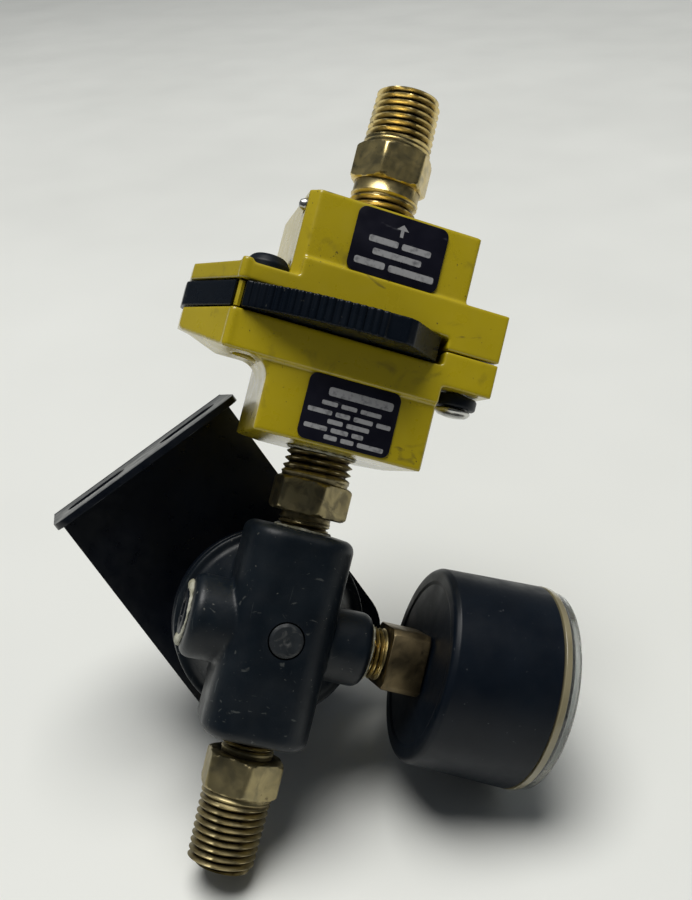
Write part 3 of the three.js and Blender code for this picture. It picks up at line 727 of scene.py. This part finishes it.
def print_line(left, right, bottom, height, words):
    """Bars that fill a line, one for each word, with word lengths as given shares."""
    gap = 0.7
    room = right - left - gap * (len(words) - 1)
    bars = []
    for share in words:
        width = room * share / sum(words)
        bars.append((left, left + width, bottom, bottom + height))
        left += width + gap
    return bars


def label(node, edge, lines):
    """A film with lines of plain bars where a maker's print would be.

    Each line has its left and right margin, its height over the edge, its bars' height and its words.
    """
    refined(node, FILM, "regulator", 0.08)
    label_left, label_right = span(node, "x")
    bars = []
    for left_margin, right_margin, rise, height, words in lines:
        bars += print_line(label_left + left_margin, label_right - right_margin, edge + rise, height, words)
    for number, (left, right, bottom, top) in enumerate(bars):
        outline = rounded_box(left, bottom, right, top, min(top - bottom, right - left) * 0.3, 3)
        printed(f"{node}_print_{number:02d}", node, outline)


upper_left, upper_right = span("upper_label", "x")
upper_bottom = span("upper_label", "z")[0]
label("upper_label", upper_bottom, [
    (3.0, 2.6, 6.2, 1.2, (4, 4)),
    (4.2, 4.0, 4.0, 1.2, (6,)),
    (1.2, 1.0, 1.6, 1.3, (4, 6)),
])


def arrow(left, bottom, width, height):
    """The flow's arrow, pointing up."""
    middle = left + width / 2
    stem = width * 0.13
    head = bottom + height * 0.55
    outline = [(middle - stem, bottom), (middle + stem, bottom), (middle + stem, head),
               (left + width, head), (middle, bottom + height), (left, head), (middle - stem, head)]
    printed("upper_label_arrow", "upper_label", outline)


arrow(left=(upper_left + upper_right) / 2 - 1.2, bottom=upper_bottom + 8.4, width=2.4, height=2.4)

label("lower_label", span("lower_label", "z")[1], [
    (4.0, 1.2, -3.6, 1.6, (1,)),
    (3.2, 3.0, -5.4, 0.8, (3, 3, 4)),
    (0.9, 0.8, -7.1, 0.85, (5, 3, 4, 3)),
    (5.0, 4.6, -8.6, 0.85, (2, 3)),
    (0.9, 5.4, -10.1, 0.85, (4, 3, 2)),
    (5.0, 1.2, -11.5, 0.85, (2, 2, 4)),
])


# ------------------------------------------------------------------ regulator body
def flow_boss():
    """The upright boss, with wide corners and rounded ends, stacked from inset outlines."""
    left, front, right, back, corner = -11.0, -11.8, 9.8, 9.5, 6.2
    end, round_end, steps = 20.5, 2.2, 6
    rows = []
    for step in range(2 * steps + 2):
        lower = step <= steps
        angle = (step if lower else 2 * steps + 1 - step) / steps * math.pi / 2
        inset = round_end * (1 - math.sin(angle))
        height = (end - round_end + round_end * math.cos(angle)) * (-1 if lower else 1)
        outline = rounded_box(left + inset, front + inset, right - inset, back - inset, corner - inset, 10)
        rows.append([(a, b, height) for a, b in outline])
    points = [point for row in rows for point in row]
    return mesh_of("boss", points, tube_faces(len(rows), len(rows[0])))


PORT_BORE = 5.35
LEFT_BOSS_Y = -1.5


def casting_mesh():
    """The boss, two side bosses and the dish melted into one, then bored."""
    gauge = lathe("gauge_boss", [(0, -5), (7.4, -5), (7.4, 18.2, 1.9), (0, 18.2)], "x", 64)
    left = lathe("left_boss", [(0, -18.2), (8.2, -18.2, 1.9), (8.2, 0), (0, 0)], "x", 64)
    left.transform(Matrix.Translation((0, LEFT_BOSS_Y * MM, 0)))
    dish = lathe("dish", [(0, -4), (11.5, -4, 1), (13.5, 2, 3), (17.6, 8.8, 2),
                          (19.6, 8.8, 0.4), (19.6, 12.3, 0.4), (0, 12.3)], "y", 96)
    melted = cast(merged("casting", flow_boss(), gauge, left, dish), voxel=0.3, rounds=4)
    for axis, low, high in (("z", 14, 22), ("z", -22, -14), ("x", 14, 20), ("x", -20, -14)):
        bore = lathe("bore", [(0, low), (PORT_BORE, low), (PORT_BORE, high), (0, high)], axis, 64)
        melted = boolean(melted, bore)
    recess = lathe("recess", [(0, -16), (3.9, -16), (3.55, -11.5), (3.55, -9), (0, -9)], "y", 64)
    return boolean(melted, recess)


piece("regulator_casting", casting_mesh(), CASTING, "regulator", ("regulator_body",), 40)

piece("bottom_plug_fine", lathe("bottom_plug_fine", [
    (0, -12.02), (0.5, -11.95, 0.2), (0.8, -12.05, 0.2), (2.7, -12.05, 0.2),
    (3.3, -11.75, 0.3), (3.3, -9), (0, -9),
], "y", 80), SCUFFED, "regulator", ("bottom_plug",))

refined("port_plug", COAT, "regulator", 0.25)


# ------------------------------------------------------------------ bonnet, nut and knob
FLUTE_SHARE = 0.6


def fluted(radius, depth, count, height):
    """A row whose radius dips in evenly spaced flutes."""
    def row(angle):
        phase = (angle * count / (2 * math.pi)) % 1
        dip = max(0, 1 - abs(phase - 0.5) / (FLUTE_SHARE / 2))
        return radius - depth * min(1, dip * 2), height
    return row


def bonnet_mesh():
    return lathe("bonnet_fine", [
        (16.2, 13.6), (19.6, 13.6, 0.4), (19.6, 16.8, 0.6), (18.6, 17.4, 0.4), (17.8, 26.6, 1.2),
        (16.8, 27.6, 0.5), (14.8, 27.6), (14.8, 36.5, 0.5), (11, 36.5), (11, 42, 0.6), (3.4, 42, 0.3),
        (3.4, 34.6), (11.6, 34.6), (11.6, 17.6), (16.2, 15.4),
    ], "y", 96)


piece("bonnet_fine", bonnet_mesh(), PLASTIC, "regulator", ("bonnet",))


def neck_thread_mesh():
    """The external thread that the ring nut runs on, as a sleeve over the bonnet's neck."""
    pitch, low, high = 1.5, 29.6, 36.2
    root, depth, inside = 14.55, 0.5, 14.2
    rows = []
    count = 36
    for i in range(count + 1):
        height = low + (high - low) * i / count

        def row(angle, height=height):
            phase = (height / pitch - angle / (2 * math.pi)) % 1
            return root + depth * (1 - abs(2 * phase - 1)), height
        rows.append(row)
    rows += [ring(inside, high), ring(inside, low)]
    return grid_mesh("neck_thread", rows, "y", 96)


piece("neck_thread", neck_thread_mesh(), PLASTIC, "regulator")


def knob_mesh():
    """A cup with a fluted grip, a dished end and a stepped bore."""
    count, depth = 36, 0.45
    rows = [ring(0, 54), ring(9.5, 54), ring(9.9, 53.75), ring(10.6, 53.75), ring(11, 54), ring(13.2, 54)]
    rows += [ring(13.9, 53.9), ring(14.4, 53.5), ring(14.75, 52.9)]
    rows += [fluted(14.95, depth * share, count, height)
             for height, share in ((52.2, 0), (51.6, 0.7), (51.0, 1), (40.2, 1), (39.6, 0.7), (39.0, 0))]
    rows += [ring(15, 38.8), ring(15, 37.5), ring(14.7, 37.2), ring(11.5, 37.2), ring(11.5, 45.4)]
    rows += [ring(4.4, 45.4), ring(4.4, 52), ring(0, 52)]
    return grid_mesh("knob_fine", rows, "y", 288)


piece("knob_fine", knob_mesh(), PLASTIC, "knob", ("knob",), 40)
refined("panel_nut", PLASTIC, "regulator", 0.35)
refined("adjusting_screw", STEEL, "screw", 0.2)

# ------------------------------------------------------------------ bracket
refined("bracket", COAT, "bracket", 0.3)


# ------------------------------------------------------------------ gauge
def stem_thread_mesh():
    large_end, small_end, bore = 21.4, 12.4, 1.3
    rows = thread_rows(EIGHTH, large_end, small_end, 0.8)
    rows += [ring(bore, small_end), ring(bore, large_end)]
    return grid_mesh("stem_thread", rows, "x", 120)


def stem_mesh():
    """Square flats with turned ends, and a neck into the case."""
    flats = bevelled(prism("flats", rounded_box(-6.1, -6.1, 6.1, 6.1, 0.4, 3), 21.8, 29.6, "x"), 0.25, 2, 40)
    turned = lathe("turned", [(0, 21), (7.3, 21), (7.9, 22.4), (7.9, 29.2), (7.5, 30), (0, 30)], "x", 96)
    squared = boolean(flats, turned, "INTERSECT")
    neck = lathe("neck", [(0, 29), (3.6, 29), (3.6, 34), (0, 34)], "x", 48)
    return merged("stem", squared, neck)


piece("gauge_stem_fine", stem_mesh(), BROWN_BRASS, "regulator", ("gauge_stem",), 40)
piece("gauge_stem_thread", stem_thread_mesh(), BRASS, "regulator", sharp=40)

CASE_FRONT = span("gauge_case", "x")[1]
LENS_BACK, LENS_FRONT = span("gauge_lens", "x")
LENS_STEP = LENS_BACK + 1.35

piece("gauge_case_fine", lathe("gauge_case_fine", [
    (4, 30.1), (16.2, 30.1, 0.6), (16.9, 29.9, 0.4), (19.0, 29.8, 1.2), (19.75, 30.9, 0.9),
    (20.8, CASE_FRONT, 0.3), (19.3, CASE_FRONT, 0.2), (18.2, 32.3), (4, 32.3),
], "x", 128), PLASTIC, "regulator", ("gauge_case",), 40)

piece("gauge_lens_fine", lathe("gauge_lens_fine", [
    (0, LENS_FRONT - 2.2), (16.8, LENS_FRONT - 2.2), (17.4, LENS_STEP + 0.05),
    (20.45, LENS_STEP + 0.05, 0.1), (20.3, LENS_FRONT, 0.5), (18.4, LENS_FRONT, 0.4),
    (17.6, LENS_FRONT - 0.8, 0.4), (0, LENS_FRONT - 0.8),
], "x", 128), CLEAR, "regulator", ("gauge_lens",), 40)
piece("gauge_lens_seat", lathe("gauge_lens_seat", [
    (17.5, LENS_BACK), (20.9, LENS_BACK, 0.2), (20.9, LENS_STEP, 0.25), (17.5, LENS_STEP),
], "x", 128), AMBER, "regulator", sharp=40)


def carried(node, material):
    """A CAD node whose shape is already right, with a better material."""
    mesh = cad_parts[node].data
    mesh.materials.clear()
    mesh.materials.append(material)


carried("gauge_dial", DIAL)
for node in ("movement_frame", "bourdon_tube", "pinion_arbor", "sector_gear"):
    carried(node, BRASS)
for node in ("poppet", "diaphragm_plate", "spring_seat"):
    carried(node, BRASS)
for node in ("upper_seal", "lower_seal"):
    carried(node, RUBBER)
refined("pointer", INK, "pointer", 0.08)


# ------------------------------------------------------------------ springs and diaphragm
def coil_mesh(name, radius, wire, low, high, turns):
    """A coil of round wire along Y with blunt ends."""
    sides, steps = 14, round(turns * 40)
    slope = (high - low - 2 * wire) / (turns * 2 * math.pi * radius)
    points = []
    for i in range(steps + 1):
        angle = 2 * math.pi * turns * i / steps
        height = low + wire + (high - low - 2 * wire) * i / steps
        for side in range(sides):
            turn = 2 * math.pi * side / sides
            out, up = wire * math.cos(turn), wire * math.sin(turn)
            across, along = radius + out, -up * slope
            points.append((across * math.cos(angle) - along * math.sin(angle), height + up,
                           across * math.sin(angle) + along * math.cos(angle)))
    return mesh_of(name, points, tube_faces(steps + 1, sides))


# Each spring rides on the body that one of its ends stays with, and has a mesh of its own.
spring_low, spring_high = span("range_spring", "y")
coil = coil_mesh("range_spring_fine", 8.6, 1.1, spring_low, spring_high, 3.2)
range_spring = piece("range_spring_fine", coil, STEEL, "seat", ("range_spring",), 60)
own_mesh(range_spring)

spring_low, spring_high = span("poppet_spring", "y")
coil = coil_mesh("poppet_spring_fine", 2.15, 0.35, spring_low, spring_high, 4.5)
poppet_spring = piece("poppet_spring_fine", coil, STEEL, "regulator", ("poppet_spring",), 60)
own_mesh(poppet_spring)

# The diaphragm's rim is clamped, and its centre moves with the plate.
rubber_low, rubber_high = span("diaphragm", "y")
piece("diaphragm_rim", lathe("diaphragm_rim", [
    (11.3, rubber_low, 0.3), (12.2, rubber_low, 0.3), (13.2, rubber_low - 0.5, 0.4), (14.4, rubber_low, 0.3),
    (18, rubber_low), (18, rubber_high), (14.6, rubber_high, 0.3), (13.2, rubber_high - 0.5, 0.4),
    (12.0, rubber_high, 0.3), (11.3, rubber_high, 0.3),
]), RUBBER, "regulator", ("diaphragm",))
piece("diaphragm_centre", lathe("diaphragm_centre", [
    (2.1, rubber_low), (11.2, rubber_low, 0.3), (11.2, rubber_high, 0.3), (2.1, rubber_high),
]), RUBBER, "plate")

DIAL_FACE = span("gauge_dial", "x")[1]
DIAL_ZERO, DIAL_SWEEP, DIAL_FULL = math.radians(225), math.radians(270), 160
NUMBER_RADIUS = 11.0


def dial_marks():
    """Ticks all round the scale, long ones at the numbered values."""
    points, faces = [], []
    divisions, outer = 80, 16.8
    for i in range(divisions + 1):
        angle = DIAL_ZERO - DIAL_SWEEP * i / divisions
        inner, half = (13.6, 0.22) if i % 10 == 0 else (15.0, 0.1) if i % 5 == 0 else (15.6, 0.1)
        along = Vector((math.cos(angle), math.sin(angle)))
        across = Vector((-along.y, along.x)) * half
        start = len(points)
        near, far = along * inner, along * outer
        for level in (DIAL_FACE + 0.01, DIAL_FACE + 0.05):
            for corner in (near - across, near + across, far + across, far - across):
                points.append((level, *corner))
        faces += [tuple(start + k for k in face) for face in tube_faces(2, 4)]
    return mesh_of("dial_ticks", points, faces)


piece("dial_ticks", dial_marks(), INK, "regulator")


def dial_number(value):
    """A number beside its long tick."""
    angle = DIAL_ZERO - DIAL_SWEEP * value / DIAL_FULL
    curve = bpy.data.curves.new(f"dial_number_{value}", "FONT")
    curve.body = str(value)
    curve.size = 3.4 * MM
    curve.extrude = 0.02 * MM
    curve.align_x = "CENTER"
    curve.align_y = "CENTER"
    mesh = baked(placed(curve.name, curve))
    centre = at(DIAL_FACE + 0.03, NUMBER_RADIUS * math.cos(angle), NUMBER_RADIUS * math.sin(angle))
    turn = Matrix(((0, 0, 1), (1, 0, 0), (0, 1, 0))).to_4x4()
    mesh.transform(Matrix.Translation(centre) @ turn)
    mesh.name = curve.name
    piece(mesh.name + "_mesh", mesh, INK, "regulator")


for number in range(0, DIAL_FULL + 1, 20):
    dial_number(number)


# ------------------------------------------------------------------ sealant at the joints
def sealant_ring(name, axis, level, radius, thickness, lumps=0.0):
    """A smear of thread sealant round a joint; lumps swell it on the two sides along the last axis."""
    rows = []
    steps = 12
    for i in range(steps):
        turn = 2 * math.pi * i / steps

        def row(angle, turn=turn):
            ripple = 0.24 * math.sin(3 * angle + 1) + 0.16 * math.sin(7 * angle + level)
            crumbs = 0.10 * math.sin(17 * angle + 3 * turn) + 0.08 * math.sin(29 * angle - 2 * turn)
            swell = thickness * (1 + ripple + crumbs + lumps * abs(math.sin(angle)) ** 8)
            return radius + swell * math.cos(turn), level + swell * math.sin(turn) * 0.7
        rows.append(row)
    piece(name, grid_mesh(name, rows, axis, 160), SEALANT, "regulator")


sealant_ring("sealant_top_port", "z", 20.6, 5.3, 0.45)
sealant_ring("sealant_gauge_port", "x", 18.3, 5.3, 0.5)
sealant_ring("sealant_left_port", "x", -18.4, 5.3, 0.42, lumps=1.9)
sealant_ring("sealant_bottom_port", "z", -20.6, 5.2, 0.35)
sealant_ring("sealant_valve_port", "z", 36.2, 6.6, 0.4)


# ------------------------------------------------------------------ stage, light and camera
UP = Vector((-0.38, -0.5, 0.78)).normalized()
TABLE_DROP = 40.5


def one_sided(surface):
    """Lets a view from below the floor see the part through it."""
    clear = surface.nodes.new("ShaderNodeBsdfTransparent")
    chooser = surface.nodes.new("ShaderNodeMixShader")
    geometry = surface.nodes.new("ShaderNodeNewGeometry")
    surface.links.new(geometry.outputs["Backfacing"], chooser.inputs["Fac"])
    surface.links.new(surface.shader.outputs["BSDF"], chooser.inputs[1])
    surface.links.new(clear.outputs["BSDF"], chooser.inputs[2])
    surface.links.new(chooser.outputs["Shader"], surface.nodes["Material Output"].inputs["Surface"])


def table_surface():
    """The pale surface on which the part rests on its knob, inlet end and gauge rim."""
    surface = Surface("stage_surface")
    tone = surface.ramp(surface.noise(0.004, 3), [(0.35, (0.76, 0.77, 0.74)), (0.65, (0.81, 0.82, 0.79))])
    surface.colour(tone)
    surface.roughness(surface.noise(0.02, 4), 0.5, 0.65)
    surface.bump(surface.noise(0.06, 6), 0.1, 0.3)
    one_sided(surface)
    mesh = bpy.data.meshes.new("stage_floor")
    half = 3.0
    corners = [(-half, -half, 0), (half, -half, 0), (half, half, 0), (-half, half, 0)]
    mesh.from_pydata(corners, [], [(0, 1, 2, 3)])
    mesh.materials.append(surface.material)
    floor = placed("stage_floor", mesh)
    floor.rotation_mode = "QUATERNION"
    floor.rotation_quaternion = UP.to_track_quat("Z", "Y")
    floor.location = at(0, 0, 0) - UP * TABLE_DROP * MM


table_surface()

LIGHT_TARGET = (0, 0, 20)


def area_light(name, direction, distance, size, power, colour):
    """A round lamp that shines on the target; distance and size are metres."""
    light = bpy.data.lights.new(name, "AREA")
    light.shape = "DISK"
    light.size = size
    light.energy = power
    light.color = colour
    lamp = placed(name, light)
    towards = Vector(direction).normalized()
    lamp.location = at(*LIGHT_TARGET) + towards * distance
    lamp.rotation_mode = "QUATERNION"
    lamp.rotation_quaternion = towards.to_track_quat("Z", "Y")


area_light("overhead", (-0.45, -0.44, 0.84), distance=1.8, size=1.3, power=34.4, colour=(1.0, 0.99, 0.96))

ROOM_BRIGHT_SIDE = (-0.3, 0.3, 0.9)


def studio_world():
    """A room that is dim in front of the part and brighter above and behind it, and pale past the floor."""
    world = bpy.data.worlds.new("studio")
    bpy.context.scene.world = world
    world.use_nodes = True
    nodes, links = world.node_tree.nodes, world.node_tree.links
    room = nodes["Background"]
    room.inputs["Color"].default_value = (0.72, 0.78, 0.85, 1)
    towards = nodes.new("ShaderNodeVectorMath")
    towards.operation = "DOT_PRODUCT"
    towards.inputs[1].default_value = ROOM_BRIGHT_SIDE
    links.new(nodes.new("ShaderNodeTexCoord").outputs["Generated"], towards.inputs[0])
    fall = nodes.new("ShaderNodeMapRange")
    fall.inputs["From Min"].default_value = -0.6
    fall.inputs["From Max"].default_value = 0.9
    fall.inputs["To Min"].default_value = 0.03
    fall.inputs["To Max"].default_value = 0.16
    links.new(towards.outputs["Value"], fall.inputs["Value"])
    links.new(fall.outputs["Result"], room.inputs["Strength"])
    pale = nodes.new("ShaderNodeBackground")
    pale.inputs["Color"].default_value = (0.66, 0.67, 0.64, 1)
    chooser = nodes.new("ShaderNodeMixShader")
    links.new(nodes.new("ShaderNodeLightPath").outputs["Is Camera Ray"], chooser.inputs["Fac"])
    links.new(room.outputs["Background"], chooser.inputs[1])
    links.new(pale.outputs["Background"], chooser.inputs[2])
    links.new(chooser.outputs["Shader"], nodes["World Output"].inputs["Surface"])


studio_world()

CAMERA_PLACE = (-39.13, -207.16, 24.44)
CAMERA_RIGHT = Vector((0.94649, -0.21616, 0.23966))
CAMERA_UP = Vector((-0.24788, -0.01136, 0.96872))

camera_data = bpy.data.cameras.new("camera")
camera_data.sensor_width = 36
camera_data.lens = 42.42
camera = placed("camera", camera_data)
camera_back = CAMERA_RIGHT.cross(CAMERA_UP)
camera.matrix_world = Matrix.Translation(at(*CAMERA_PLACE)) @ Matrix(
    (CAMERA_RIGHT, CAMERA_UP, camera_back)).transposed().to_4x4()
camera_data.clip_start = 0.01
bpy.context.scene.camera = camera

bpy.context.scene.view_settings.view_transform = "Standard"
